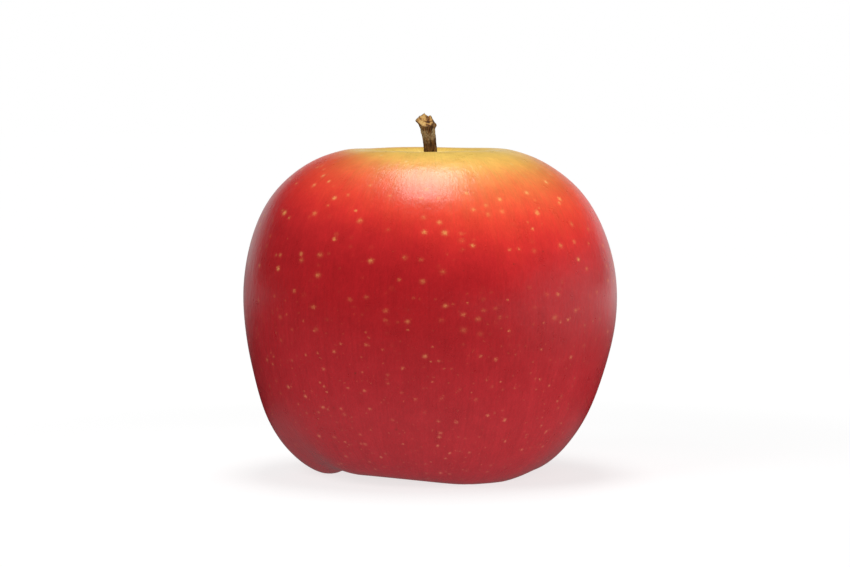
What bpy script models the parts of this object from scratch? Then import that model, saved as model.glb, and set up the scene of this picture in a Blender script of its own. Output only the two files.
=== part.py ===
"""A red apple as picked: the fruit, its woody stalk and the dried flower parts in the eye underneath.

Metres, +Z up. The origin is under the middle of the fruit, at the height of the surface it stands on.
The side that the fruit is mostly seen from faces -Y.
"""

import math

import bmesh
import bpy
import numpy as np
from mathutils import Vector

MM = 0.001

# Driving dimensions.
FRUIT_RADIUS = 37.75 * MM
FRUIT_HEIGHT = 66.2 * MM
STALK_TOP = 73.4 * MM
STALK_RADIUS = 1.32 * MM
STALK_SIDES = 14
TOUCHING_GAP = 0.3 * MM

# How finely the fruit is divided: sections round it, and steps between two points of its profile.
SECTIONS = 60
STEPS_PER_SPAN = 2

# Half of the fruit cut through its core, from the stalk's socket over the shoulder, down the cheek,
# under the foot and up to the eye. Each point is (share of the radius, share of the height).
PROFILE = [
    (0.000, 0.741),
    (0.046, 0.744),
    (0.060, 0.772),
    (0.095, 0.815),
    (0.150, 0.880),
    (0.220, 0.943),
    (0.305, 0.987),
    (0.400, 1.000),
    (0.490, 0.991),
    (0.590, 0.970),
    (0.705, 0.930),
    (0.820, 0.868),
    (0.915, 0.778),
    (0.982, 0.655),
    (1.000, 0.540),
    (0.982, 0.425),
    (0.933, 0.300),
    (0.865, 0.180),
    (0.762, 0.083),
    (0.660, 0.027),
    (0.580, 0.002),
    (0.515, -0.004),
    (0.450, 0.008),
    (0.370, 0.042),
    (0.262, 0.098),
    (0.150, 0.143),
    (0.070, 0.160),
    (0.000, 0.163),
]

# The five lobes that the fruit stands on, one over each seed chamber: the direction they lie in,
# how far each foot is off the surface, and how far the hollow after each rises above its two feet.
LOBES = [
    (math.radians(-125.0), 1.65 * MM, 0.10 * MM),
    (math.radians(-56.0), 0.00 * MM, 0.80 * MM),
    (math.radians(22.0), 0.00 * MM, 1.70 * MM),
    (math.radians(106.0), 0.00 * MM, 1.60 * MM),
    (math.radians(177.0), 0.00 * MM, 1.90 * MM),
]
SHOULDER_DIP = 0.45 * MM  # the same lobes, felt faintly round the stalk's end
CHEEK_PINCH = 0.012  # and down the cheeks, as a share of the radius
OVAL = 0.009  # the fruit is a little wider than it is deep
LOW_LEAN = -0.6 * MM  # the lower half bulges towards -X, and so does the shoulder
HIGH_LEAN = -0.5 * MM

# Where each of these is felt: from a share of the fruit's height or radius at which it sets in, to
# the share at which it is whole.
LOBES_BY_HEIGHT = (0.42, 0.02)
LOBES_BY_RADIUS = (0.06, 0.42)
SHOULDER_BY_HEIGHT = (0.80, 1.00)
SHOULDER_BY_RADIUS = (0.10, 0.40)
LOW_LEAN_BY_HEIGHT = (0.50, 0.05)
HIGH_LEAN_BY_HEIGHT = (0.60, 1.00)
LEAN_BY_RADIUS = (0.15, 0.60)
HOLLOW_SHARPNESS = 1.4  # above 1, the hollows are narrower than the lobes

# The stalk's middle line: (x, y) beside the fruit's axis, share of the way up, share of its radius.
STALK_LINE = [
    (0.25 * MM, 0.10 * MM, 0.00, 1.05),
    (0.30 * MM, 0.10 * MM, 0.12, 0.98),
    (0.25 * MM, 0.05 * MM, 0.35, 0.90),
    (0.10 * MM, 0.00 * MM, 0.58, 0.94),
    (-0.02 * MM, 0.00 * MM, 0.75, 0.98),
    (-0.25 * MM, 0.00 * MM, 0.85, 1.06),
    (-0.62 * MM, 0.00 * MM, 0.93, 1.26),
    (-0.82 * MM, 0.00 * MM, 0.98, 1.10),
    (-0.88 * MM, 0.00 * MM, 1.00, 0.72),
]

# A dried sepal hangs from the floor of the eye. Each row is (distance from the axis, drop below the
# floor of the eye, width, thickness).
SEPALS = 5
SEPAL_LINE = [
    (2.25 * MM, 0.55 * MM, 2.10 * MM, 0.60 * MM),
    (2.60 * MM, 1.60 * MM, 2.40 * MM, 0.50 * MM),
    (3.35 * MM, 2.90 * MM, 2.20 * MM, 0.42 * MM),
    (3.95 * MM, 4.00 * MM, 1.50 * MM, 0.36 * MM),
    (3.90 * MM, 4.90 * MM, 0.60 * MM, 0.30 * MM),
]
TUFT_RADIUS = 1.15 * MM
TUFT_LENGTH = 3.6 * MM


def clear_scene():
    for obj in list(bpy.data.objects):
        bpy.data.objects.remove(obj)


def material(name, colour, roughness):
    made = bpy.data.materials.new(name)
    made.use_nodes = True
    shader = made.node_tree.nodes["Principled BSDF"]
    shader.inputs["Base Color"].default_value = (*colour, 1.0)
    shader.inputs["Roughness"].default_value = roughness
    return made


def object_from(bm, name, finish):
    """Turn a bmesh into a smooth-shaded object of its own."""
    bmesh.ops.recalc_face_normals(bm, faces=bm.faces)
    mesh = bpy.data.meshes.new(name)
    bm.to_mesh(mesh)
    bm.free()
    mesh.shade_smooth()
    mesh.materials.append(finish)
    made = bpy.data.objects.new(name, mesh)
    bpy.context.scene.collection.objects.link(made)
    return made


def felt(share, zone):
    """0 before the zone's first share, 1 past its second, and an S between them."""
    set_in, whole = zone
    along = min(1.0, max(0.0, (share - set_in) / (whole - set_in)))
    return along * along * (3.0 - 2.0 * along)


def curve_through(points, steps):
    """A natural cubic spline through the points, with this many steps from each to the next."""
    points = np.array(points, float)
    spans = len(points) - 1
    lengths = np.sqrt(np.linalg.norm(np.diff(points, axis=0), axis=1))
    knots = np.concatenate([[0.0], np.cumsum(lengths)])
    system = np.eye(spans + 1)
    right = np.zeros_like(points)
    for i in range(1, spans):
        before, after = lengths[i - 1], lengths[i]
        system[i, i - 1 : i + 2] = before, 2.0 * (before + after), after
        rise_after = (points[i + 1] - points[i]) / after
        rise_before = (points[i] - points[i - 1]) / before
        right[i] = 6.0 * (rise_after - rise_before)
    bends = np.linalg.solve(system, right)
    line = []
    for i in range(spans):
        width = lengths[i]
        for t in np.linspace(knots[i], knots[i + 1], steps, endpoint=False):
            a, b = (knots[i + 1] - t) / width, (t - knots[i]) / width
            pull = (a**3 - a) * bends[i] + (b**3 - b) * bends[i + 1]
            line.append(a * points[i] + b * points[i + 1] + pull * width**2 / 6.0)
    line.append(points[-1])
    return [tuple(float(number) for number in point) for point in line]


def between_lobes(angle):
    """(how far this direction is into a hollow, 0 to 1; the rise of that hollow; the feet's height)."""
    turn = math.tau
    for i, (start, foot, hollow) in enumerate(LOBES):
        end, next_foot, _ = LOBES[(i + 1) % len(LOBES)]
        width = (end - start) % turn
        along = (angle - start) % turn
        if along < width:
            share = along / width
            into = (0.5 - 0.5 * math.cos(turn * share)) ** HOLLOW_SHARPNESS
            return into, hollow, foot + (next_foot - foot) * felt(share, (0.0, 1.0))
    return 0.0, 0.0, 0.0


def shaped(turned):
    """Where a point of the turned body goes once the lobes, the oval and the lean are there."""
    radius = math.hypot(turned.x, turned.y)
    angle = math.atan2(turned.y, turned.x)
    height = turned.z
    up, out = height / FRUIT_HEIGHT, radius / FRUIT_RADIUS
    into, hollow, foot = between_lobes(angle)
    low = felt(up, LOBES_BY_HEIGHT) * felt(out, LOBES_BY_RADIUS)
    high = felt(up, SHOULDER_BY_HEIGHT) * felt(out, SHOULDER_BY_RADIUS)
    height += low * (into * hollow + foot) - high * into * SHOULDER_DIP
    radius *= (1.0 - CHEEK_PINCH * into * low) * (1.0 + OVAL * math.cos(2.0 * angle))
    lean = LOW_LEAN * felt(up, LOW_LEAN_BY_HEIGHT) + HIGH_LEAN * felt(up, HIGH_LEAN_BY_HEIGHT)
    x = radius * math.cos(angle) + lean * felt(out, LEAN_BY_RADIUS)
    # The feet are pressed flat where they meet the surface.
    return Vector((x, radius * math.sin(angle), max(height, 0.0)))


def make_fruit(finish):
    bm = bmesh.new()
    outline = [(r * FRUIT_RADIUS, z * FRUIT_HEIGHT) for r, z in PROFILE]
    line = [bm.verts.new((max(r, 0.0), 0.0, z)) for r, z in curve_through(outline, STEPS_PER_SPAN)]
    edges = [bm.edges.new(pair) for pair in zip(line, line[1:])]
    bmesh.ops.spin(
        bm,
        geom=line + edges,
        cent=(0.0, 0.0, 0.0),
        axis=(0.0, 0.0, 1.0),
        angle=math.tau,
        steps=SECTIONS,
        use_merge=True,
    )
    bmesh.ops.remove_doubles(bm, verts=bm.verts, dist=0.001 * MM)
    for vert in bm.verts:
        vert.co = shaped(vert.co)
    return object_from(bm, "fruit", finish)


def loft(rings, name, finish):
    """One closed body through the rings, each a loop of as many points, with a face over each end."""
    bm = bmesh.new()
    loops = [[bm.verts.new(point) for point in ring] for ring in rings]
    for one, other in zip(loops, loops[1:]):
        for i in range(len(one)):
            j = (i + 1) % len(one)
            bm.faces.new((one[i], one[j], other[j], other[i]))
    bm.faces.new(reversed(loops[0]))
    bm.faces.new(loops[-1])
    return object_from(bm, name, finish)


def make_stalk(finish):
    foot = PROFILE[0][1] * FRUIT_HEIGHT + TOUCHING_GAP
    rings = []
    for x, y, share, swell in curve_through(STALK_LINE, 2):
        centre = Vector((x, y, foot + share * (STALK_TOP - foot)))
        ring = []
        for k in range(STALK_SIDES):
            angle = math.tau * k / STALK_SIDES
            radius = STALK_RADIUS * swell * (1.0 + 0.05 * math.cos(3.0 * angle + 4.0 * share))
            ring.append(centre + radius * Vector((math.cos(angle), math.sin(angle), 0.0)))
        rings.append(ring)
    return loft(rings, "stem", finish)


def make_sepal(number, finish):
    """A narrow pointed leaf, hollow on its inner side, turned to its place round the axis."""
    eye_floor = PROFILE[-1][1] * FRUIT_HEIGHT
    turn = math.tau * (number + 0.5) / SEPALS
    outward = Vector((math.cos(turn), math.sin(turn), 0.0))
    across = Vector((-math.sin(turn), math.cos(turn), 0.0))
    rings = []
    for distance, drop, width, thickness in curve_through(SEPAL_LINE, 2):
        middle = outward * distance + Vector((0.0, 0.0, eye_floor - drop))
        ring = []
        for side, face in ((-1.0, -1.0), (0.0, -1.0), (1.0, -1.0), (1.0, 1.0), (0.0, 1.0), (-1.0, 1.0)):
            cup = 0.12 * width * (1.0 - abs(side))
            ring.append(
                middle + across * (side * width / 2.0) + outward * (face * thickness / 2.0 + cup)
            )
        rings.append(ring)
    return loft(rings, f"sepal_{number + 1}", finish)


def make_tuft(finish):
    """The dried stamens, as one tapering bundle between the sepals."""
    top = PROFILE[-1][1] * FRUIT_HEIGHT - TOUCHING_GAP
    rings = []
    for share, swell in ((0.0, 0.80), (0.25, 0.95), (0.60, 0.85), (0.85, 0.55), (1.0, 0.20)):
        ring = []
        for k in range(10):
            angle = math.tau * k / 10
            reach = Vector((math.cos(angle), math.sin(angle), 0.0)) * TUFT_RADIUS * swell
            ring.append(reach + Vector((0.0, 0.0, top - share * TUFT_LENGTH)))
        rings.append(ring)
    return loft(rings, "stamen_tuft", finish)


clear_scene()
SKIN = material("apple_skin", (0.48, 0.022, 0.020), 0.30)
BARK = material("stem_bark", (0.16, 0.085, 0.035), 0.80)
DRY_LEAF = material("dry_sepal", (0.17, 0.12, 0.065), 0.85)
DRY_THREAD = material("dry_stamen", (0.10, 0.060, 0.030), 0.90)

make_fruit(SKIN)
make_stalk(BARK)
for sepal in range(SEPALS):
    make_sepal(sepal, DRY_LEAF)
make_tuft(DRY_THREAD)
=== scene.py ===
# %% [markdown]
# # A ripe red apple
# An apple is one body of flesh under a thin waxed skin. Its wooden stalk stands in a funnel at the
# top, and the dried remains of its flower sit in the eye underneath. This lesson puts a fine skin
# around a simple, measured solid, and makes the colour of the skin from one number: how much red has
# formed at each place. The solid model, the frame, is loaded first and says where everything is.

# %% The frame
import math

import bmesh
import bpy
import numpy as np
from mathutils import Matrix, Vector, noise
from mathutils.bvhtree import BVHTree


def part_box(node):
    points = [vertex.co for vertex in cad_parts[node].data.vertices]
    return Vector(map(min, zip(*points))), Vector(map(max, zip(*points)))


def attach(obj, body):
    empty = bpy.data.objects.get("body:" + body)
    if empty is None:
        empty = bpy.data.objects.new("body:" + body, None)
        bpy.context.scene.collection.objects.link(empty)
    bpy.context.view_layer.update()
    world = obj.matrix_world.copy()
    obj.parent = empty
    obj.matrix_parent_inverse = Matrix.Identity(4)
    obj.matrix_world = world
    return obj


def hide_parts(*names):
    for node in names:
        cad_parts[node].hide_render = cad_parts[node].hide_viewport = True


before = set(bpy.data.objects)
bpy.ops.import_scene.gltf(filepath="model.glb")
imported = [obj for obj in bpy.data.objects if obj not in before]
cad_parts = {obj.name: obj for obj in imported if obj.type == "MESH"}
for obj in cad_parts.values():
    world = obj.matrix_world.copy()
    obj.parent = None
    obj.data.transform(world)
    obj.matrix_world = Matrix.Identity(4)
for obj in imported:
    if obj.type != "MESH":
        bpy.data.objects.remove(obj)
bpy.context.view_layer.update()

scene = bpy.context.scene
MM = 0.001
fruit_low, fruit_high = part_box("fruit")
stem_low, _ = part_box("stem")
OVAL = 0.009
FRUIT_RADIUS = (fruit_high.x - fruit_low.x) / 2.0 / (1.0 + OVAL)
FRUIT_HEIGHT = fruit_high.z
print(f"fruit radius {FRUIT_RADIUS / MM:.1f} mm, height {FRUIT_HEIGHT / MM:.1f} mm")

# %% [markdown]
# ## The camera
# A lens of about 125 mm from 60 cm away draws the fruit nearly without perspective; a short lens from
# nearby would swell its middle. The camera stands a little higher than the rim of the stalk's funnel,
# so the far rim shows as a thin line over the near one, and it is tipped down to centre the fruit.

# %% The camera
CAMERA_DISTANCE = 0.600
CAMERA_HEIGHT = 0.0762
CAMERA_ASIDE = -0.0010
CAMERA_TIP = math.radians(3.57)
CAMERA_LENS = 124.7
camera = bpy.data.objects.new("camera", bpy.data.cameras.new("camera"))
camera.data.lens = CAMERA_LENS
camera.location = (CAMERA_ASIDE, -CAMERA_DISTANCE, CAMERA_HEIGHT)
camera.rotation_euler = (math.radians(90.0) - CAMERA_TIP, 0.0, 0.0)
scene.collection.objects.link(camera)
scene.camera = camera
scene.view_settings.view_transform = "Standard"
print(f"camera {CAMERA_DISTANCE / MM:.0f} mm away, {CAMERA_HEIGHT / MM:.0f} mm up, lens {CAMERA_LENS} mm")

# %% [markdown]
# ## Helpers for node trees
# Arithmetic reads better as arithmetic than as a pile of nodes. A Wire is a socket that carries a
# number, and adding or multiplying two wires adds the Math node that does it. The same helper serves
# the geometry of the fruit and the colour of its skin.

# %% Node helpers
class Wire:
    """A socket that carries a number through a node tree."""

    def __init__(self, tree, socket):
        self.tree, self.socket = tree, socket

    def math(self, operation, *others, clamp=False):
        made = node(self.tree, "ShaderNodeMath", operation=operation, use_clamp=clamp)
        for place, value in enumerate((self, *others)):
            feed(self.tree, value, made.inputs[place])
        return Wire(self.tree, made.outputs[0])

    def __add__(self, other):
        return self.math("ADD", other)

    def __sub__(self, other):
        return self.math("SUBTRACT", other)

    def __mul__(self, other):
        return self.math("MULTIPLY", other)

    def __truediv__(self, other):
        return self.math("DIVIDE", other)

    def __pow__(self, other):
        return self.math("POWER", other)

    __radd__, __rmul__ = __add__, __mul__

    def felt(self, set_in, whole, low=0.0, high=1.0, soft=True):
        """low before set_in, high past whole, and an S between them. set_in may be the larger."""
        made = node(self.tree, "ShaderNodeMapRange")
        made.interpolation_type = "SMOOTHSTEP" if soft else "LINEAR"
        for place, value in enumerate((self, set_in, whole, low, high)):
            feed(self.tree, value, made.inputs[place])
        return Wire(self.tree, made.outputs[0])


def node(tree, kind, **settings):
    made = tree.nodes.new(kind)
    for name, value in settings.items():
        setattr(made, name, value)
    return made


def feed(tree, value, socket):
    """Join a wire or a socket to this socket, or set it to a plain value."""
    if isinstance(value, Wire):
        value = value.socket
    if isinstance(value, bpy.types.NodeSocket):
        tree.links.new(value, socket)
    else:
        socket.default_value = value


def vector(tree, x, y, z):
    made = node(tree, "ShaderNodeCombineXYZ")
    for value, socket in zip((x, y, z), made.inputs):
        feed(tree, value, socket)
    return made.outputs[0]


def parts(tree, socket):
    made = node(tree, "ShaderNodeSeparateXYZ")
    tree.links.new(socket, made.inputs[0])
    return [Wire(tree, out) for out in made.outputs]


# %% [markdown]
# ## The fruit's shape
# The fruit is a turned body that nature didn't turn quite true. A profile, half of the fruit cut
# through its core, goes round the axis; then five lobes lift the base between their feet, one lobe
# over each seed chamber, and the whole leans a little. The solid in the frame follows this rule in
# coarse steps. Geometry Nodes follow it again here in steps of under a millimetre, and add what is
# too fine for the solid: a slight unevenness, and folds that run into the eye.

# %% The profile
PROFILE = [
    (0.000, 0.741),
    (0.046, 0.744),
    (0.060, 0.772),
    (0.095, 0.815),
    (0.150, 0.880),
    (0.220, 0.943),
    (0.305, 0.987),
    (0.400, 1.000),
    (0.490, 0.991),
    (0.590, 0.970),
    (0.705, 0.930),
    (0.820, 0.868),
    (0.915, 0.778),
    (0.982, 0.655),
    (1.000, 0.540),
    (0.982, 0.425),
    (0.933, 0.300),
    (0.865, 0.180),
    (0.762, 0.083),
    (0.660, 0.027),
    (0.580, 0.002),
    (0.515, -0.004),
    (0.450, 0.008),
    (0.370, 0.042),
    (0.262, 0.098),
    (0.150, 0.143),
    (0.070, 0.160),
    (0.000, 0.163),
]
STEPS_PER_SPAN = 16


def curve_through(points, steps):
    """A natural cubic spline through the points, with this many steps from each to the next."""
    points = np.array(points, float)
    spans = len(points) - 1
    lengths = np.sqrt(np.linalg.norm(np.diff(points, axis=0), axis=1))
    system = np.eye(spans + 1)
    right = np.zeros_like(points)
    for i in range(1, spans):
        before, after = lengths[i - 1], lengths[i]
        system[i, i - 1 : i + 2] = before, 2.0 * (before + after), after
        right[i] = 6.0 * ((points[i + 1] - points[i]) / after - (points[i] - points[i - 1]) / before)
    bends = np.linalg.solve(system, right)
    line = []
    for i in range(spans):
        for b in np.linspace(0.0, 1.0, steps, endpoint=False):
            a = 1.0 - b
            pull = (a**3 - a) * bends[i] + (b**3 - b) * bends[i + 1]
            line.append(a * points[i] + b * points[i + 1] + pull * lengths[i] ** 2 / 6.0)
    line.append(points[-1])
    return [tuple(float(number) for number in point) for point in line]


outline = [(r * FRUIT_RADIUS, z * FRUIT_HEIGHT) for r, z in PROFILE]
profile_line = [(max(r, 0.0), 0.0, z) for r, z in curve_through(outline, STEPS_PER_SPAN)]
profile_mesh = bpy.data.meshes.new("profile")
profile_mesh.from_pydata(profile_line, [(i, i + 1) for i in range(len(profile_line) - 1)], [])
PROFILE_LENGTH = sum(math.dist(a, b) for a, b in zip(profile_line, profile_line[1:]))
print(f"profile of {len(profile_line)} points, {PROFILE_LENGTH / MM:.1f} mm long")

# %% [markdown]
# Each lobe is a direction, the height of its foot and the rise of the hollow after it. The rule for
# one hollow is written once and used five times; only one of the five is felt in any direction.

# %% The lobes
LOBES = [
    (math.radians(-125.0), 1.65 * MM, 0.10 * MM),
    (math.radians(-56.0), 0.00 * MM, 0.80 * MM),
    (math.radians(22.0), 0.00 * MM, 1.70 * MM),
    (math.radians(106.0), 0.00 * MM, 1.60 * MM),
    (math.radians(177.0), 0.00 * MM, 1.20 * MM),
]
HOLLOW_SHARPNESS = 1.4


def lobes(angle):
    """Wires for how far this direction is into a hollow, 0 to 1, and how far the base is lifted."""
    into, lift = 0.0, 0.0
    for i, (start, foot, rise) in enumerate(LOBES):
        end, next_foot, _ = LOBES[(i + 1) % len(LOBES)]
        width = (end - start) % math.tau
        along = (angle - start).math("FLOORED_MODULO", math.tau)
        here = along.math("LESS_THAN", width)
        share = along / width
        hollow = ((share * math.tau).math("COSINE") * -0.5 + 0.5) ** HOLLOW_SHARPNESS
        feet = share.felt(0.0, 1.0, foot, next_foot)
        into = hollow * here + into
        lift = (hollow * rise + feet) * here + lift
    return into, lift


highest_foot = max(foot for _, foot, _ in LOBES)
print(f"{len(LOBES)} lobes, the highest foot {highest_foot / MM:.2f} mm off the table")

# %% [markdown]
# Geometry Nodes run on a carrier object, and only the mesh that they make is kept. These helpers give
# a tree its named inputs and its end, run it, and put the result in the scene.

# %% Growing a mesh with nodes
def new_tree(name, sizes):
    """A tree with a named input for each size, given as (value, what it sets), and its input node."""
    tree = bpy.data.node_groups.new(name, "GeometryNodeTree")
    tree.interface.new_socket("Geometry", in_out="INPUT", socket_type="NodeSocketGeometry")
    for size, (value, meaning) in sizes.items():
        made = tree.interface.new_socket(size, in_out="INPUT", socket_type="NodeSocketFloat")
        made.default_value, made.description = value, meaning
    tree.interface.new_socket("Geometry", in_out="OUTPUT", socket_type="NodeSocketGeometry")
    return tree, node(tree, "NodeGroupInput")


def end_tree(tree, socket, finish):
    """Every tree ends with real, smooth-shaded geometry that wears its material."""
    real = node(tree, "GeometryNodeRealizeInstances")
    smooth = node(tree, "GeometryNodeSetShadeSmooth")
    painted = node(tree, "GeometryNodeSetMaterial")
    painted.inputs["Material"].default_value = finish
    ends = (real, smooth, painted, node(tree, "NodeGroupOutput"))
    for made in ends:
        tree.links.new(socket, made.inputs[0])
        socket = made.outputs[0] if made.outputs else None
    return tree


def grown(name, source_mesh, tree, sizes, finish):
    """Run a tree on a mesh with these sizes, and keep the result as a plain mesh in the scene."""
    carrier = bpy.data.objects.new(name + "_carrier", source_mesh)
    scene.collection.objects.link(carrier)
    modifier = carrier.modifiers.new("grow", "NODES")
    modifier.node_group = tree
    for item in tree.interface.items_tree:
        if item.in_out == "INPUT" and item.name in sizes:
            modifier[item.identifier] = sizes[item.name][0]
    graph = bpy.context.evaluated_depsgraph_get()
    mesh = bpy.data.meshes.new_from_object(carrier.evaluated_get(graph), depsgraph=graph)
    carrier.modifiers.remove(modifier)
    bpy.data.objects.remove(carrier)
    mesh.name = name
    mesh.materials.clear()
    mesh.materials.append(finish)
    made = bpy.data.objects.new(name, mesh)
    scene.collection.objects.link(made)
    return made


# %% The tree that turns the fruit
SIZES = {  # input: (value, what it sets)
    "Shoulder Dip": (0.12 * MM, "the lobes, felt faintly round the stalk's end"),
    "Rim Tilt": (0.20 * MM, "how much higher the shoulder stands at the back"),
    "Cheek Pinch": (0.012, "the lobes down the cheeks, as a share of the radius"),
    "Oval": (OVAL, "how much wider than deep the fruit is"),
    "Low Lean": (-0.6 * MM, "how far the lower half bulges sideways"),
    "High Lean": (-0.5 * MM, "how far the shoulder does"),
    "Unevenness": (0.22 * MM, "slow swells and dips all over"),
    "Eye Folds": (0.45 * MM, "folds that run into the eye"),
}
ROWS, SECTIONS = 300, 288
SWELLS = {"W": 7.0, "Scale": 46.0, "Detail": 1.5, "Roughness": 0.4}  # W is the seed
SEAM_GAP = 0.002 * MM


def fruit_tree(finish):
    tree, source = new_tree("turned_fruit", SIZES)
    size = {name: Wire(tree, source.outputs[name]) for name in SIZES}

    # A flat grid: across it is the turn round the axis, up it is the way along the profile.
    grid = node(tree, "GeometryNodeMeshGrid")
    for socket, value in zip(grid.inputs, (1.0, 1.0, SECTIONS + 1, ROWS + 1)):
        socket.default_value = value
    turn, along, _ = parts(tree, grid.outputs["UV Map"])
    line = node(tree, "GeometryNodeMeshToCurve")
    tree.links.new(source.outputs["Geometry"], line.inputs[0])
    sample = node(tree, "GeometryNodeSampleCurve", mode="FACTOR")
    tree.links.new(line.outputs[0], sample.inputs["Curves"])
    feed(tree, along, sample.inputs["Factor"])
    radius, _, height = parts(tree, sample.outputs["Position"])

    # The rule that the solid follows too.
    angle = turn * math.tau
    up, out = height / FRUIT_HEIGHT, radius / FRUIT_RADIUS
    into, lift = lobes(angle)
    low = up.felt(0.42, 0.02) * out.felt(0.06, 0.42)
    high = up.felt(0.80, 1.00) * out.felt(0.10, 0.40)
    height = height + low * lift - high * into * size["Shoulder Dip"]
    height = height + high * angle.math("SINE") * size["Rim Tilt"]
    pinch = (into * low * size["Cheek Pinch"]) * -1.0 + 1.0
    radius = radius * pinch * ((angle * 2.0).math("COSINE") * size["Oval"] + 1.0)
    lean = up.felt(0.50, 0.05) * size["Low Lean"] + up.felt(0.60, 1.00) * size["High Lean"]

    # What is finer than the solid: the folds of the eye, and an uneven skin.
    fold = (angle * 10.0 + (angle * 3.0).math("SINE") * 1.3).math("COSINE")
    near_eye = out.felt(0.40, 0.13) * out.felt(0.02, 0.10) * up.felt(0.30, 0.12)
    height = height + fold * near_eye * size["Eye Folds"]
    x = radius * angle.math("COSINE") + lean * out.felt(0.15, 0.60)
    y = radius * angle.math("SINE")
    place = vector(tree, x, y, height)
    swell = node(tree, "ShaderNodeTexNoise", noise_dimensions="4D")
    feed(tree, place, swell.inputs["Vector"])
    for name, value in SWELLS.items():
        swell.inputs[name].default_value = value
    free = out.felt(0.10, 0.30) * up.felt(0.01, 0.10)
    push = (Wire(tree, swell.outputs[0]) - 0.5) * size["Unevenness"] * free * 2.0
    x, y = x + angle.math("COSINE") * push, y + angle.math("SINE") * push
    place = vector(tree, x, y, height.math("MAXIMUM", 0.0))

    moved = node(tree, "GeometryNodeSetPosition")
    tree.links.new(grid.outputs["Mesh"], moved.inputs["Geometry"])
    tree.links.new(place, moved.inputs["Position"])
    kept = node(tree, "GeometryNodeStoreNamedAttribute", data_type="FLOAT", domain="POINT")
    kept.inputs["Name"].default_value = "along"
    tree.links.new(moved.outputs[0], kept.inputs["Geometry"])
    feed(tree, along, kept.inputs["Value"])
    sewn = node(tree, "GeometryNodeMergeByDistance")
    sewn.inputs["Distance"].default_value = SEAM_GAP
    tree.links.new(kept.outputs[0], sewn.inputs["Geometry"])
    turned = node(tree, "GeometryNodeFlipFaces")
    tree.links.new(sewn.outputs[0], turned.inputs[0])
    return end_tree(tree, turned.outputs[0], finish)


print(f"the fruit is turned in {SECTIONS} sections and {ROWS} rows, with {len(SIZES)} named sizes")

# %% [markdown]
# ## The skin
# All the colour of the skin comes from one number, the blush: how much red has formed over the yellow
# ground. It follows the way along the profile from the stalk to the eye, sets in later on the side
# that grew in the shade, and is streaked along the meridians, because the cells of the skin were
# stretched that way as the fruit swelled. A colour ramp turns the blush into yellow, orange, scarlet
# and crimson, so every streak and blotch takes a hue that belongs there.

# %% Colour helpers
def linear(*srgb):
    """A colour as a screen shows it, 0 to 255, in the linear numbers that shaders take."""
    shares = [value / 255.0 for value in srgb]
    return (*[s / 12.92 if s <= 0.04045 else ((s + 0.055) / 1.055) ** 2.4 for s in shares], 1.0)


def ramp(tree, factor, stops):
    made = node(tree, "ShaderNodeValToRGB")
    feed(tree, factor, made.inputs[0])
    elements = made.color_ramp.elements
    for element, (place, colour) in zip(elements, (stops[0], stops[-1])):
        element.position, element.color = place, colour
    for place, colour in stops[1:-1]:
        elements.new(place).color = colour
    return made.outputs[0]


def mixed(tree, factor, one, other, blend="MIX"):
    made = node(tree, "ShaderNodeMix", data_type="RGBA", blend_type=blend)
    feed(tree, factor, made.inputs["Factor"])
    feed(tree, one, made.inputs["A"])
    feed(tree, other, made.inputs["B"])
    return made.outputs["Result"]


def noise_wire(tree, place, scale, detail=2.0, roughness=0.5):
    """Noise from 0 to 1 about a middle of 0.5."""
    made = node(tree, "ShaderNodeTexNoise")
    feed(tree, place, made.inputs["Vector"])
    for name, value in (("Scale", scale), ("Detail", detail), ("Roughness", roughness)):
        made.inputs[name].default_value = value
    return Wire(tree, made.outputs[0])


def new_material(name):
    made = bpy.data.materials.new(name)
    made.use_nodes = True
    return made, made.node_tree, made.node_tree.nodes["Principled BSDF"]


def attribute(tree, name):
    """A wire with the number that the mesh keeps under this name."""
    return Wire(tree, node(tree, "ShaderNodeAttribute", attribute_name=name).outputs["Fac"])


def add_relief(tree, shader, height, depth, strength=1.0):
    """Shade the surface as if it rose by this wire of heights, where 1 is this depth in metres."""
    bump = node(tree, "ShaderNodeBump")
    bump.inputs["Distance"].default_value = depth
    bump.inputs["Strength"].default_value = strength
    feed(tree, height, bump.inputs["Height"])
    feed(tree, bump.outputs[0], shader.inputs["Normal"])


# %% The blush and its colours
BLUSH_COLOURS = [
    (0.00, linear(140, 120, 60)),
    (0.08, linear(190, 166, 82)),
    (0.15, linear(250, 212, 106)),
    (0.21, linear(254, 208, 102)),
    (0.245, linear(249, 184, 90)),
    (0.272, linear(240, 146, 76)),
    (0.298, linear(238, 116, 64)),
    (0.326, linear(235, 90, 56)),
    (0.355, linear(228, 68, 48)),
    (0.388, linear(210, 48, 42)),
    (0.42, linear(188, 36, 38)),
    (0.46, linear(169, 28, 33)),
    (0.53, linear(162, 24, 30)),
    (0.62, linear(165, 26, 34)),
    (0.72, linear(164, 29, 37)),
    (0.82, linear(156, 31, 42)),
    (0.905, linear(150, 38, 46)),
    (0.935, linear(168, 84, 56)),
    (0.965, linear(170, 132, 72)),
    (1.00, linear(120, 96, 55)),
]
SHADE_SIDE = math.radians(-58.0)
SHADE_MIDDLE = 0.85  # how far towards the shade the blush neither leads nor lags
SHADE_LAG = 0.085


def blush_colour(tree, where, along, east, north, streak, fine):
    """The colour of the skin before its marks: late on the shaded side, blotched and streaked."""
    to_shade = east * math.cos(SHADE_SIDE) + north * math.sin(SHADE_SIDE)
    slow = noise_wire(tree, where, 42.0, 2.0) - 0.5
    outside = along.felt(0.14, 0.24) * along.felt(0.84, 0.60)
    blush = along - (to_shade - SHADE_MIDDLE) * SHADE_LAG * outside
    blush = blush + slow * 0.055 * outside + (streak * 0.032 + fine * 0.020) * outside
    return ramp(tree, blush, BLUSH_COLOURS)


print(f"blush in {len(BLUSH_COLOURS)} colours, latest towards {math.degrees(SHADE_SIDE):.0f} degrees")

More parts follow.
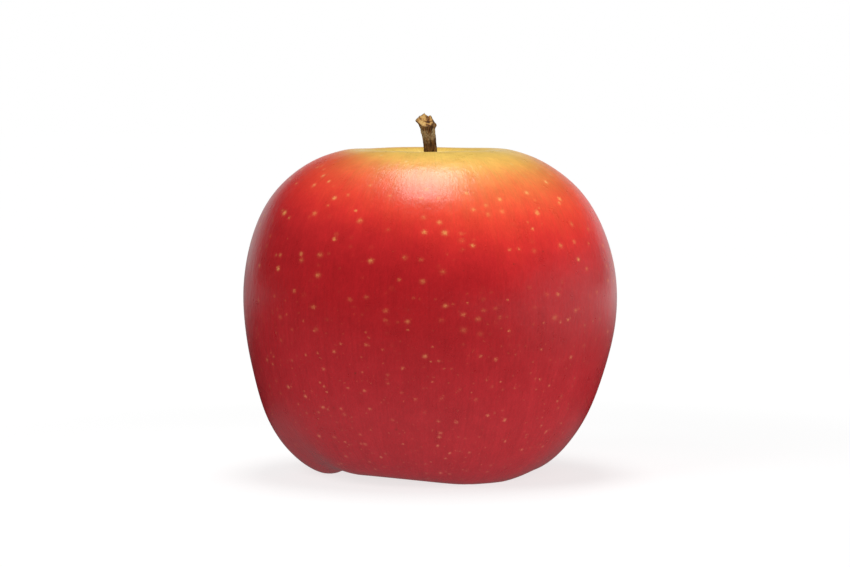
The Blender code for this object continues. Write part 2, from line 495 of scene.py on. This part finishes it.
# %% [markdown]
# A pore of the skin, a lenticel, is a pale corky dot where the fruit breathes. The pores lie large and
# far apart on the shoulder, small and close below. A Voronoi texture has one point in each of its
# cells, so a layer is one such texture with its own cell size, felt over its own part of the way down.

# %% The pores
LENTICELS = [  # cell in mm, radius in cells, (sets in, whole), (gone, fades from), how strong
    (2.8, 0.195, (0.17, 0.24), (0.58, 0.42), 0.90),
    (2.9, 0.150, (0.34, 0.46), (0.86, 0.74), 0.62),
    (2.1, 0.160, (0.44, 0.58), (0.93, 0.86), 0.58),
    (1.3, 0.150, (0.46, 0.62), (0.94, 0.88), 0.40),
]
SPECKS = (5.3, 0.055, (0.16, 0.26), (0.92, 0.80), 0.80)
SPECK_COLOUR = linear(96, 40, 26)
PORE_COLOURS = [
    (0.20, linear(255, 226, 158)),
    (0.34, linear(248, 196, 110)),
    (0.50, linear(228, 152, 90)),
    (0.80, linear(218, 128, 100)),
]
PORE_JITTER = 0.75


def lenticels(tree, around, cell, reach, sets_in, fades, along, grain):
    """A wire that is 1 in the middle of each pale pore of this layer and 0 off them."""
    made = node(tree, "ShaderNodeTexVoronoi", feature="F1")
    shaken = node(tree, "ShaderNodeVectorMath", operation="ADD")
    feed(tree, around, shaken.inputs[0])
    feed(tree, grain, shaken.inputs[1])
    feed(tree, shaken.outputs[0], made.inputs["Vector"])
    made.inputs["Scale"].default_value = 1.0 / cell
    own, bright, _ = parts(tree, made.outputs["Color"])
    size = own * 0.9 + 0.45
    far = Wire(tree, made.outputs["Distance"]) / size
    core = far.felt(reach, 0.0, soft=False) ** 1.5 * 0.85 + far.felt(reach * 1.6, 0.0) * 0.15
    where = along.felt(*sets_in) * along.felt(*fades)
    return core * where * bright.felt(0.10, 0.75, 0.35, 1.0)


def with_pores(tree, colour, around, along):
    """The colour with its pale pores and dark specks, and the wire that says where the pores are."""
    jitter = node(tree, "ShaderNodeTexNoise")
    feed(tree, around, jitter.inputs["Vector"])
    jitter.inputs["Scale"].default_value = 3.4
    jitter.inputs["Detail"].default_value = 2.0
    spread = node(tree, "ShaderNodeVectorMath", operation="SCALE")
    feed(tree, jitter.outputs["Color"], spread.inputs[0])
    spread.inputs["Scale"].default_value = PORE_JITTER
    pores = 0.0
    for cell, reach, sets_in, fades, strength in LENTICELS:
        layer = lenticels(tree, around, cell, reach, sets_in, fades, along, spread.outputs[0])
        pores = layer * strength + pores
    pores = pores.math("MINIMUM", 1.0)
    colour = mixed(tree, pores, colour, ramp(tree, along, PORE_COLOURS))
    cell, reach, sets_in, fades, strength = SPECKS
    specks = lenticels(tree, around, cell, reach, sets_in, fades, along, spread.outputs[0])
    return mixed(tree, specks * strength, colour, SPECK_COLOUR), pores


finest = min(cell for cell, *_ in LENTICELS)
print(f"{len(LENTICELS)} layers of pores, the closest in cells of {finest} mm")

# %% [markdown]
# The patterns have to wrap round the fruit without a seam. So they are drawn on the direction from the
# axis, which comes round to itself, and on the way along the profile, and not on a flat sheet that
# would have to be cut open somewhere. Stretching such a pattern along the profile makes streaks.

# %% The waxed skin
RUSSET_COLOUR = linear(150, 112, 58)


def skin_material():
    made, tree, shader = new_material("apple_skin")
    where = node(tree, "ShaderNodeTexCoord").outputs["Object"]
    x, y, z = parts(tree, where)
    along = attribute(tree, "along")
    away = (x * x + y * y).math("SQRT").math("MAXIMUM", 0.5 * MM)
    east, north = x / away, y / away

    def wrapped(turned, lengthwise):
        return vector(tree, east * turned, north * turned, along * lengthwise)

    # The blush.
    streak = noise_wire(tree, wrapped(26.0, 5.0), 1.0, 3.0, 0.6) - 0.5
    fine = noise_wire(tree, wrapped(70.0, 9.0), 1.0, 2.0, 0.6) - 0.5
    colour = blush_colour(tree, where, along, east, north, streak, fine)

    # Mottling: a fine grain of lighter and darker cells.
    grain = noise_wire(tree, wrapped(75.0, 110.0), 1.0, 2.0, 0.75)
    patches = noise_wire(tree, where, 260.0, 3.0, 0.6)
    shade = (grain - 0.5) * 0.30 + (patches - 0.5) * 0.34 + fine * 0.22 + streak * 0.16 + 1.0
    shade_colour = node(tree, "ShaderNodeCombineColor")
    for socket in shade_colour.inputs:
        feed(tree, shade, socket)
    colour = mixed(tree, 1.0, colour, shade_colour.outputs[0], "MULTIPLY")

    # Russet: a brown net that spreads from the stalk over the wall of its funnel.
    net = noise_wire(tree, wrapped(16.0, 42.0), 1.0, 4.0, 0.7)
    russet = (net + along.felt(0.03, 0.19, 0.20, -0.35)).felt(0.50, 0.64) * 0.75
    colour = mixed(tree, russet, colour, RUSSET_COLOUR)

    # The pores, on a place in millimetres.
    colour, pores = with_pores(tree, colour, wrapped(30.0, PROFILE_LENGTH / MM), along)
    feed(tree, colour, shader.inputs["Base Color"])

    # Wax: satin, a little duller on the pores, with a fine relief.
    feed(tree, (patches - 0.5) * 0.10 + pores * 0.15 + 0.29, shader.inputs["Roughness"])
    shader.inputs["Specular IOR Level"].default_value = 0.5
    shader.inputs["Coat Weight"].default_value = 0.12
    shader.inputs["Coat Roughness"].default_value = 0.18
    peel = noise_wire(tree, where, 820.0, 2.0, 0.5)
    creases = noise_wire(tree, vector(tree, x * 330.0, y * 330.0, z * 90.0), 1.0, 3.0, 0.6)
    height = grain * 0.40 + peel * 0.45 + patches * 0.3 + creases * 1.1 + pores * 0.3
    add_relief(tree, shader, height, 0.10 * MM)
    return made


skin = skin_material()
print(f"skin of {len(skin.node_tree.nodes)} nodes")

# %% [markdown]
# The tree is run on the profile. The result should hold about as much as the solid does and lie against
# it everywhere, so its volume and its widest gap to the solid are measured.

# %% Growing the fruit
fruit = grown("fruit_skin", profile_mesh, fruit_tree(skin), SIZES, skin)
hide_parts("fruit")
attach(fruit, "root")
mesh = fruit.data
mesh.calc_loop_triangles()
corners = np.array([v.co for v in mesh.vertices])
faces = np.array([t.vertices for t in mesh.loop_triangles])
a, b, c = (corners[faces[:, k]] for k in range(3))
volume = np.einsum("ij,ij->i", a, np.cross(b, c)).sum() / 6.0
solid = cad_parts["fruit"].data
solid_tree = BVHTree.FromPolygons([v.co for v in solid.vertices], [p.vertices for p in solid.polygons])
gaps = [solid_tree.find_nearest(Vector(corner))[3] for corner in corners[::17]]
print(f"fruit: {len(faces)} triangles, {volume * 1e6:.1f} cm3, within {max(gaps) / MM:.2f} mm of the solid")

# %% [markdown]
# ## The stalk
# The stalk is a short woody shoot that has snapped off. Its bark is ridged along the grain, and the
# break runs obliquely: high at the back, low in front, ragged at the edge and pitted where the pith
# was. A plain bent tube would show none of this, so the tube is built ring by ring. Each ring's top
# follows the line of the break, the bark's relief is noise stretched along the grain, and the broken
# face closes the tube with rings that shrink to its middle. Two numbers are kept at every corner for
# the material: whether it is broken wood, and how far it is sunk, which the material paints as shade.

# %% The stalk's rings
STALK_RADIUS = 1.32 * MM
STALK_LINE = [  # sideways, share of the way up, swell
    (0.25 * MM, 0.00, 1.12),
    (0.30 * MM, 0.12, 1.00),
    (0.25 * MM, 0.35, 0.92),
    (0.18 * MM, 0.58, 0.98),
    (0.06 * MM, 0.75, 1.02),
    (-0.14 * MM, 0.85, 1.07),
    (-0.56 * MM, 0.93, 1.18),
    (-0.92 * MM, 1.00, 1.22),
]
BREAK_HEIGHTS = [  # direction in degrees, height of the break's edge
    (0.0, 72.1 * MM),
    (50.0, 73.1 * MM),
    (72.0, 72.9 * MM),
    (98.0, 73.5 * MM),
    (130.0, 73.0 * MM),
    (180.0, 72.3 * MM),
    (215.0, 71.3 * MM),
    (265.0, 70.7 * MM),
    (320.0, 71.0 * MM),
    (360.0, 72.1 * MM),
]
KNOBS = [  # direction in degrees, height, how far it stands out, half width in degrees, half height
    (5.0, 71.1 * MM, 0.50 * MM, 26.0, 0.55 * MM),
    (178.0, 71.9 * MM, 0.60 * MM, 22.0, 0.50 * MM),
    (205.0, 70.3 * MM, -0.38 * MM, 16.0, 0.40 * MM),
    (300.0, 66.3 * MM, 0.16 * MM, 40.0, 0.50 * MM),
    (250.0, 68.2 * MM, 0.14 * MM, 34.0, 0.45 * MM),
]
STALK_ROWS, STALK_TURNS, FACE_RINGS = 130, 96, 26


def read_off(line, at, column):
    """One column of a table, read between its rows."""
    places = [row[0] for row in line]
    return float(np.interp(at, places, [row[column] for row in line]))


def bark_relief(angle, height):
    """Ridges along the grain, cracks across them and a rough surface, in metres."""
    around = Vector((math.cos(angle), math.sin(angle), 0.0))
    ridges = noise.noise(around * 3.1 + Vector((0.0, 0.0, height * 210.0)))
    fissures = 0.30 - abs(noise.noise(around * 5.5 + Vector((4.0, 1.0, height * 330.0))))
    rough = noise.fractal(around * 6.0 + Vector((0.0, 7.0, height * 2600.0)), 0.8, 2.1, 4)
    return (0.10 * ridges - 0.16 * max(fissures, 0.0) / 0.30 + 0.045 * rough) * MM


def build_loft(name, rings, marks, finish):
    """Close rings of equal count into one body, with a fan at each end. marks: attribute -> rows."""
    count = len(rings[0])
    corners = [corner for ring in rings for corner in ring]
    faces = []
    for i in range(len(rings) - 1):
        for k in range(count):
            here, after = i * count + k, i * count + (k + 1) % count
            faces.append((here, after, after + count, here + count))
    ends = []
    for ring, first in ((rings[0], 0), (rings[-1], (len(rings) - 1) * count)):
        ends.append(len(corners))
        corners.append(sum(ring, Vector()) / count)
        for k in range(count):
            pair = (first + k, first + (k + 1) % count)
            faces.append((*(pair if first else pair[::-1]), ends[-1]))
    made = bpy.data.meshes.new(name)
    made.from_pydata(corners, [], faces)
    for mark, rows in marks.items():
        values = [value for row in rows for value in row] + [rows[0][0], rows[-1][0]]
        made.attributes.new(mark, "FLOAT", "POINT").data.foreach_set("value", values)
    made.shade_smooth()
    made.materials.append(finish)
    return made


def stalk_mesh(finish):
    line = [(share, x, swell) for x, share, swell in STALK_LINE]
    foot = stem_low.z
    rings, broken, depth_shade = [], [], []
    for i in range(STALK_ROWS + 1):
        share = i / STALK_ROWS
        ring, sunk_shade = [], []
        for k in range(STALK_TURNS):
            angle = math.tau * k / STALK_TURNS
            degrees = math.degrees(angle)
            ragged = noise.fractal(Vector((math.cos(angle), math.sin(angle), 0.0)) * 4.2, 0.7, 2.1, 3)
            top = read_off(BREAK_HEIGHTS, degrees, 1) + 0.16 * MM * ragged
            height = foot + share * (top - foot)
            out = STALK_RADIUS * read_off(line, share, 2)
            relief = bark_relief(angle, height)
            for towards, level, reach, half_turn, half_height in KNOBS:
                aside = (degrees - towards + 180.0) % 360.0 - 180.0
                far = (aside / half_turn) ** 2 + ((height - level) / half_height) ** 2
                relief += reach * math.exp(-far)
            out += relief
            middle = Vector((read_off(line, share, 1), 0.0, height))
            ring.append(middle + Vector((math.cos(angle), math.sin(angle), 0.0)) * out)
            # how far this spot of bark is sunk, kept for the material's painted shade
            sunk_shade.append(max(-relief, 0.0) / (0.2 * MM))
        rings.append(ring)
        broken.append([0.0] * STALK_TURNS)
        depth_shade.append(sunk_shade)
    edge = rings[-1]
    middle = sum(edge, Vector()) / STALK_TURNS
    pith = middle + Vector((0.55 * MM, 0.15 * MM, 0.0))
    for i in range(1, FACE_RINGS):
        share = 1.0 - (i / FACE_RINGS) ** 0.9
        ring, sunk_shade = [], []
        for k, rim in enumerate(edge):
            spot = middle.lerp(rim, share)
            grain = noise.fractal(Vector((spot.x, spot.y, 3.0)) * 2400.0, 0.7, 2.0, 4)
            coarse = noise.noise(Vector((spot.x, spot.y, 1.0)) * 1100.0)
            hollow = math.exp(-(((spot - pith).length) / (0.55 * MM)) ** 2)
            inside = min((1.0 - share) * 6.0, 1.0)
            drop = (0.14 * grain + 0.22 * coarse - 0.55 * hollow) * inside * MM
            ring.append(spot + Vector((0.0, 0.0, drop)))
            # how far this spot of the break is sunk, the pith's hollow most, kept for painted shade
            sunk_shade.append(min(max(hollow * 0.9 - 0.9 * coarse - 0.5 * grain, 0.0), 1.0) * inside)
        rings.append(ring)
        broken.append([min((1.0 - share) * 6.0, 1.0)] * STALK_TURNS)
        depth_shade.append(sunk_shade)
    return build_loft("stalk_wood", rings, {"broken": broken, "depth_shade": depth_shade}, finish)


# %% [markdown]
# Bark is painted darker in its cracks than on its ridges: painted shade that grows with how far each
# spot is sunk. Old bark wears grey lichen. The broken face is bare wood, light and fibrous, with
# painted shade where it is sunk, most in the pith's hollow. One material makes both, and the number
# kept at each corner says which, so the colours meet exactly at the edge of the break.

# %% Bark and broken wood
BARK_COLOURS = [
    (0.20, linear(38, 24, 15)),
    (0.40, linear(78, 50, 27)),
    (0.55, linear(116, 80, 44)),
    (0.72, linear(160, 122, 66)),
]
WOOD_COLOURS = [
    (0.05, linear(70, 38, 22)),
    (0.30, linear(132, 86, 42)),
    (0.50, linear(186, 140, 74)),
    (0.72, linear(222, 186, 118)),
]
LICHEN_COLOUR = linear(176, 156, 116)


def bark_material():
    made, tree, shader = new_material("stalk_bark")
    where = node(tree, "ShaderNodeTexCoord").outputs["Object"]
    x, y, z = parts(tree, where)
    broken, depth_shade = attribute(tree, "broken"), attribute(tree, "depth_shade")
    grain_way = vector(tree, x * 1500.0, y * 1500.0, z * 330.0)
    grain = noise_wire(tree, grain_way, 1.0, 4.0, 0.65)
    patches = noise_wire(tree, where, 520.0, 3.0, 0.6)
    fine = noise_wire(tree, where, 4200.0, 3.0, 0.7)
    # painted shade: the bark darkens the further each spot is sunk into its cracks
    bark = ramp(tree, grain * 0.75 + patches * 0.45 - depth_shade * 0.30 - 0.08, BARK_COLOURS)
    upper = z.felt(66.5 * MM, 70.0 * MM, 0.25, 1.0)
    lichen = patches.felt(0.46, 0.60) * fine.felt(0.35, 0.60) * upper * 0.75
    bark = mixed(tree, lichen, bark, LICHEN_COLOUR)
    # painted shade: the broken wood darkens where it is sunk, most in the pith's hollow
    wood = ramp(tree, fine * 0.6 + grain * 0.35 + patches * 0.25 - depth_shade * 0.80, WOOD_COLOURS)
    feed(tree, mixed(tree, broken, bark, wood), shader.inputs["Base Color"])
    feed(tree, fine * 0.20 + 0.62, shader.inputs["Roughness"])
    shader.inputs["Specular IOR Level"].default_value = 0.35
    add_relief(tree, shader, grain * 0.8 + fine * 0.5, 0.10 * MM, 0.9)
    return made


def placed(name, mesh, replaced):
    """Put a finished mesh in the scene, in place of this node of the frame."""
    made = bpy.data.objects.new(name, mesh)
    scene.collection.objects.link(made)
    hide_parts(replaced)
    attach(made, "root")
    return made


stalk = placed("stalk", stalk_mesh(bark_material()), "stem")
stalk_top = max(v.co.z for v in stalk.data.vertices)
print(f"stalk: {len(stalk.data.polygons)} faces, up to {stalk_top / MM:.1f} mm")

# %% [markdown]
# ## The remains of the flower
# In the eye, under the fruit, five dried sepals stand round a tuft of dead stamens. A sepal is a
# narrow leaf with a mid rib, cupped and curled back at the tip. It is made as a flattened tube that
# runs out to a point, and Geometry Nodes scatter the fine down over it. The stamens are one bent
# thread with its anther, which the nodes repeat over a spiral of points.

# %% Dried sepals
SEPAL_NODES = sorted(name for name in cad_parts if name.startswith("sepal_"))
SEPAL_LINE = [  # distance from the axis, drop below the eye's floor, width, thickness
    (2.25 * MM, 0.45 * MM, 2.10 * MM, 0.56 * MM),
    (2.60 * MM, 1.60 * MM, 2.40 * MM, 0.40 * MM),
    (3.30 * MM, 2.90 * MM, 2.15 * MM, 0.32 * MM),
    (3.90 * MM, 4.00 * MM, 1.45 * MM, 0.26 * MM),
    (3.95 * MM, 4.75 * MM, 0.60 * MM, 0.18 * MM),
    (3.70 * MM, 4.95 * MM, 0.14 * MM, 0.10 * MM),
]
SEPAL_ROWS, SEPAL_TURNS = 60, 36


def sepal_mesh(number, finish):
    floor_height = PROFILE[-1][1] * FRUIT_HEIGHT
    turn = math.tau * (number + 0.5) / len(SEPAL_NODES)
    outward = Vector((math.cos(turn), math.sin(turn), 0.0))
    across = Vector((-math.sin(turn), math.cos(turn), 0.0))
    rings, ribs = [], []
    for distance, drop, width, thickness in curve_through(SEPAL_LINE, SEPAL_ROWS // 5):
        ring, rib = [], []
        for k in range(SEPAL_TURNS):
            angle = math.tau * k / SEPAL_TURNS
            side, face = math.cos(angle), math.sin(angle)
            spot = Vector((side * 1.7, drop * 900.0, number * 5.0))
            ripple = 0.16 * MM * noise.noise(spot) + 0.10 * MM * noise.noise(spot * 2.7)
            cup = 0.16 * width * (1.0 - side * side)
            vein = 0.10 * MM * math.exp(-((side / 0.14) ** 2)) * max(-face, 0.0)
            push = face * thickness / 2.0 + cup + ripple - vein
            edge = 1.0 + 0.07 * noise.noise(Vector((drop * 2500.0, side, number * 3.0)))
            middle = outward * (distance + push) + across * (side * width / 2.0 * edge)
            ring.append(middle + Vector((0.0, 0.0, floor_height - drop)))
            rib.append(math.exp(-((side / 0.16) ** 2)))
        rings.append(ring)
        ribs.append(rib)
    return build_loft(f"sepal_leaf_{number + 1}", rings, {"rib": ribs}, finish)


sepal_hang = SEPAL_LINE[-1][1] - SEPAL_LINE[0][1]
print(f"{len(SEPAL_NODES)} sepals, which hang {sepal_hang / MM:.1f} mm down")

# %% [markdown]
# Dead sepals keep the grey down of the living ones. About a hundred hairs on each leaf are too many to
# place by hand, so points are scattered on its faces, and each takes a hair: a cone of three sides,
# which leans its own way.

# %% The down
DOWN_SIZES = {
    "Hair Length": (0.42 * MM, "how long a hair is"),
    "Hairs Per Area": (5.0e6, "hairs on a square metre"),
}
HAIR_RADIUS = 0.022 * MM


def scattered_down(mesh, finish, seed):
    """The mesh with fine hairs over it, as an object with one plain mesh."""
    tree, source = new_tree("down", DOWN_SIZES)
    spots = node(tree, "GeometryNodeDistributePointsOnFaces")
    spots.inputs["Seed"].default_value = seed
    hair = node(tree, "GeometryNodeMeshCone")
    hair.inputs["Vertices"].default_value = 3
    hair.inputs["Radius Bottom"].default_value = HAIR_RADIUS
    lean = node(tree, "FunctionNodeRandomValue", data_type="FLOAT_VECTOR")
    lean.inputs[0].default_value = (-0.8, -0.8, -3.0)
    lean.inputs[1].default_value = (0.8, 0.8, 3.0)
    lean.inputs["Seed"].default_value = seed
    leaning = node(tree, "FunctionNodeRotateEuler", space="LOCAL")
    scatter = node(tree, "GeometryNodeInstanceOnPoints")
    both = node(tree, "GeometryNodeJoinGeometry")
    join = tree.links.new
    join(source.outputs["Geometry"], spots.inputs["Mesh"])
    join(source.outputs["Hairs Per Area"], spots.inputs["Density"])
    join(source.outputs["Hair Length"], hair.inputs["Depth"])
    join(spots.outputs["Rotation"], leaning.inputs["Rotation"])
    join(lean.outputs[0], leaning.inputs["Rotate By"])
    join(spots.outputs["Points"], scatter.inputs["Points"])
    join(hair.outputs["Mesh"], scatter.inputs["Instance"])
    join(leaning.outputs[0], scatter.inputs["Rotation"])
    join(scatter.outputs[0], both.inputs[0])
    join(source.outputs["Geometry"], both.inputs[0])
    tree = end_tree(tree, both.outputs[0], finish)
    return grown(mesh.name + "_downy", mesh, tree, DOWN_SIZES, finish)


# %% Dry leaf, and the five sepals
LEAF_COLOURS = [
    (0.25, linear(58, 42, 26)),
    (0.50, linear(112, 88, 54)),
    (0.70, linear(158, 136, 92)),
]


def leaf_material():
    made, tree, shader = new_material("dry_sepal")
    where = node(tree, "ShaderNodeTexCoord").outputs["Object"]
    rib = attribute(tree, "rib")
    cells = noise_wire(tree, where, 3200.0, 3.0, 0.6)
    patches = noise_wire(tree, where, 600.0, 3.0, 0.6)
    colour = ramp(tree, cells * 0.5 + patches * 0.6 + rib * 0.12 - 0.05, LEAF_COLOURS)
    feed(tree, colour, shader.inputs["Base Color"])
    feed(tree, cells * 0.15 + 0.72, shader.inputs["Roughness"])
    shader.inputs["Specular IOR Level"].default_value = 0.3
    add_relief(tree, shader, cells, 0.06 * MM)
    return made


dry_leaf = leaf_material()
for number, name in enumerate(SEPAL_NODES):
    leaf = scattered_down(sepal_mesh(number, dry_leaf), dry_leaf, number + 1)
    leaf.name = f"{name}_leaf"
    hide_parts(name)
    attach(leaf, "root")
print(f"the last sepal has {len(leaf.data.polygons)} faces with its down")

# %% [markdown]
# A stamen is a thread with a small knob, the anther, on its end. One of them is made: a bent curve
# given thickness, and a ball drawn out at its tip. The nodes repeat it on points that follow the turn
# of a sunflower's seeds, which fills a round space evenly, and turn each one to lean outwards.

# %% Dead stamens
STAMENS = 24
GOLDEN_TURN = math.radians(137.5)
STAMEN_SIZES = {
    "Thread Length": (3.4 * MM, "how far the longest thread hangs"),
    "Thread Radius": (0.075 * MM, "half the thickness of a thread"),
}
tuft_low, tuft_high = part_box("stamen_tuft")


def stamen_tree(finish):
    """One bent thread with an anther, repeated on every point and turned outwards."""
    tree, source = new_tree("stamens", STAMEN_SIZES)
    length = Wire(tree, source.outputs["Thread Length"])
    radius = Wire(tree, source.outputs["Thread Radius"])
    bend = node(tree, "GeometryNodeCurveQuadraticBezier")
    bend.inputs["Resolution"].default_value = 10
    tip = vector(tree, length * 0.22, 0.0, length * -1.0)
    feed(tree, vector(tree, 0.0, 0.0, 0.0), bend.inputs["Start"])
    feed(tree, vector(tree, length * -0.05, length * 0.06, length * -0.55), bend.inputs["Middle"])
    feed(tree, tip, bend.inputs["End"])
    circle = node(tree, "GeometryNodeCurvePrimitiveCircle")
    circle.inputs["Resolution"].default_value = 6
    feed(tree, radius, circle.inputs["Radius"])
    thread = node(tree, "GeometryNodeCurveToMesh")
    thread.inputs["Fill Caps"].default_value = True
    anther = node(tree, "GeometryNodeMeshIcoSphere")
    anther.inputs["Subdivisions"].default_value = 2
    feed(tree, radius * 2.4, anther.inputs["Radius"])
    at_tip = node(tree, "GeometryNodeTransform")
    at_tip.inputs["Scale"].default_value = (0.8, 1.0, 1.5)
    whole = node(tree, "GeometryNodeJoinGeometry")
    outward = node(tree, "GeometryNodeInputPosition")
    east, north, _ = parts(tree, outward.outputs[0])
    facing = north.math("ARCTAN2", east)
    varied = node(tree, "FunctionNodeRandomValue", data_type="FLOAT")
    varied.inputs[2].default_value = 0.72
    varied.inputs[3].default_value = 1.0
    varied.inputs["Seed"].default_value = 11
    scatter = node(tree, "GeometryNodeInstanceOnPoints")
    join = tree.links.new
    join(bend.outputs[0], thread.inputs["Curve"])
    join(circle.outputs[0], thread.inputs["Profile Curve"])
    join(anther.outputs[0], at_tip.inputs["Geometry"])
    join(tip, at_tip.inputs["Translation"])
    join(thread.outputs[0], whole.inputs[0])
    join(at_tip.outputs[0], whole.inputs[0])
    join(source.outputs["Geometry"], scatter.inputs["Points"])
    join(whole.outputs[0], scatter.inputs["Instance"])
    join(vector(tree, 0.0, 0.0, facing), scatter.inputs["Rotation"])
    join(varied.outputs[1], scatter.inputs["Scale"])
    return end_tree(tree, scatter.outputs[0], finish)


# %% Dry thread, and the tuft
THREAD_COLOURS = [
    (0.30, linear(44, 30, 20)),
    (0.50, linear(84, 58, 34)),
    (0.70, linear(128, 96, 56)),
]


def thread_material():
    made, tree, shader = new_material("dry_stamen")
    where = node(tree, "ShaderNodeTexCoord").outputs["Object"]
    fibre = noise_wire(tree, where, 2600.0, 3.0, 0.6)
    feed(tree, ramp(tree, fibre, THREAD_COLOURS), shader.inputs["Base Color"])
    feed(tree, fibre * 0.2 + 0.70, shader.inputs["Roughness"])
    add_relief(tree, shader, fibre, 0.03 * MM)
    return made


spots = []
for i in range(STAMENS):
    reach = 0.85 * (tuft_high.x - tuft_low.x) / 2.0 * math.sqrt((i + 0.5) / STAMENS)
    turn = i * GOLDEN_TURN
    spots.append((reach * math.cos(turn), reach * math.sin(turn), tuft_high.z))
spot_mesh = bpy.data.meshes.new("stamen_spots")
spot_mesh.from_pydata(spots, [], [])
dry_thread = thread_material()
stamens = grown("stamens", spot_mesh, stamen_tree(dry_thread), STAMEN_SIZES, dry_thread)
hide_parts("stamen_tuft")
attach(stamens, "root")
print(f"{STAMENS} stamens, {len(stamens.data.polygons)} faces")

# %% [markdown]
# ## Floor and light
# The fruit stands on plain white paper in a light tent. The paper fades into the white behind it, and
# throws light back up, most on the right. Wax mirrors whatever stands in front of it, and a bright
# floor there would lay a grey haze over the red. So the floor and the tent each answer three kinds of
# ray on their own: white to look at, mostly dark in the wax, and soft as a light.

# %% The floor
def floor_material():
    """White paper that fades into the white behind it, throws light up and is faint in the wax."""
    made, tree, shader = new_material("white_floor")
    where = node(tree, "ShaderNodeTexCoord").outputs["Object"]
    path = node(tree, "ShaderNodeLightPath")
    seen = Wire(tree, path.outputs["Is Camera Ray"])
    waxed = Wire(tree, path.outputs["Is Glossy Ray"])
    plain = (seen + waxed) * -1.0 + 1.0
    away = node(tree, "ShaderNodeVectorMath", operation="LENGTH")
    feed(tree, where, away.inputs[0])
    away = Wire(tree, away.outputs["Value"])
    east, north, _ = parts(tree, where)
    near = away.felt(0.26, 0.05)
    lit = away.felt(0.075, 0.040) * 0.14 + north.felt(0.08, 0.50) * 0.35 + east.felt(0.04, 0.30) * 0.40
    tone = noise_wire(tree, where, 9.0, 3.0) * 0.02 + plain * 0.25 + seen * near * 0.34
    grey = node(tree, "ShaderNodeCombineColor")
    for socket in grey.inputs:
        feed(tree, tone, socket)
    feed(tree, grey.outputs[0], shader.inputs["Base Color"])
    shader.inputs["Roughness"].default_value = 0.9
    shader.inputs["Specular IOR Level"].default_value = 0.0
    shader.inputs["Emission Color"].default_value = (1.0, 1.0, 1.0, 1.0)
    glow = seen * near.felt(0.0, 1.0, 1.0, 0.72) + waxed * lit
    throws = east.felt(0.02, 0.22) * 1.50 + east.felt(-0.20, 0.0) * 0.22 + 0.50
    glow = glow + plain * throws * north.felt(-0.16, -0.03, 0.12, 1.0)
    feed(tree, glow, shader.inputs["Emission Strength"])
    made.cycles.emission_sampling = "NONE"
    return made


FLOOR_RADIUS = 6.0
FLOOR_DROP = 0.1 * MM
bm = bmesh.new()
bmesh.ops.create_circle(bm, cap_ends=True, radius=FLOOR_RADIUS, segments=96)
floor_mesh = bpy.data.meshes.new("floor")
bm.to_mesh(floor_mesh)
bm.free()
floor_mesh.materials.append(floor_material())
floor = bpy.data.objects.new("floor", floor_mesh)
floor.location.z = -FLOOR_DROP
scene.collection.objects.link(floor)
print(f"floor {2.0 * FLOOR_RADIUS:.0f} m across, {FLOOR_DROP / MM:.1f} mm under the fruit")

# %% [markdown]
# One soft panel overhead is the main light, and the wax shows it as the pale patch on the shoulder.
# Three more panels fill the front, the left and the right. The wax doesn't mirror these, because each
# would add a patch of its own.

# %% The lights
PANELS = [  # name, place, width, height, watts, whether the wax mirrors it
    ("overhead_panel", (0.0, 0.04, 0.75), 0.24, 0.52, 2.6, True),
    ("front_fill", (-0.06, -0.79, 0.12), 0.80, 0.30, 3.8, False),
    ("left_fill", (-0.45, -0.36, 0.50), 0.40, 0.40, 1.7, False),
    ("side_fill", (0.80, -0.14, 0.06), 0.40, 0.12, 2.8, False),
]


def panel(name, place, target, width, height, power, reflected):
    """A soft light that faces the target."""
    light = bpy.data.lights.new(name, "AREA")
    light.shape, light.size, light.size_y = "RECTANGLE", width, height
    light.energy = power
    made = bpy.data.objects.new(name, light)
    made.location = place
    made.rotation_euler = (Vector(target) - Vector(place)).to_track_quat("-Z", "Y").to_euler()
    made.visible_glossy = reflected
    light.cycles.use_multiple_importance_sampling = reflected
    scene.collection.objects.link(made)


fruit_middle = (0.0, 0.0, FRUIT_HEIGHT / 2.0)
for name, place, width, height, watts, reflected in PANELS:
    panel(name, place, fruit_middle, width, height, watts, reflected)
print(f"{len(PANELS)} panels of {sum(row[4] for row in PANELS):.1f} W together")

# %% [markdown]
# The tent glows faintly on the right and at the back, and the wax, which mirrors most where it is seen
# edge on, draws a pale line there along the fruit's outline.

# %% The tent
def tent_world():
    """White to look at; in the wax, dark towards the front; as a light, soft and weaker in front."""
    world = bpy.data.worlds.new("light_tent")
    scene.world = world
    world.use_nodes = True
    tree = world.node_tree
    background = tree.nodes["Background"]
    world.cycles.sampling_method = "NONE"
    direction = node(tree, "ShaderNodeTexCoord").outputs["Generated"]
    east, north, up = parts(tree, direction)
    path = node(tree, "ShaderNodeLightPath")
    seen = Wire(tree, path.outputs["Is Camera Ray"])
    glossy = Wire(tree, path.outputs["Is Glossy Ray"])
    card = east.felt(0.70, 0.98) * 0.45
    glow = card.math("MAXIMUM", north.felt(0.60, 0.95) * 0.65) * up.felt(0.38, 0.12) + 0.015
    rest = (seen + glossy) * -1.0 + 1.0
    rest = rest * east.felt(-1.0, 0.6, 0.16, 0.36) * north.felt(-0.9, 0.2, 0.15, 1.0)
    feed(tree, seen + glossy * glow + rest, background.inputs["Strength"])
    background.inputs["Color"].default_value = (1.0, 1.0, 1.0, 1.0)


tent_world()
print(f"world: {scene.world.name}, {len(scene.world.node_tree.nodes)} nodes")
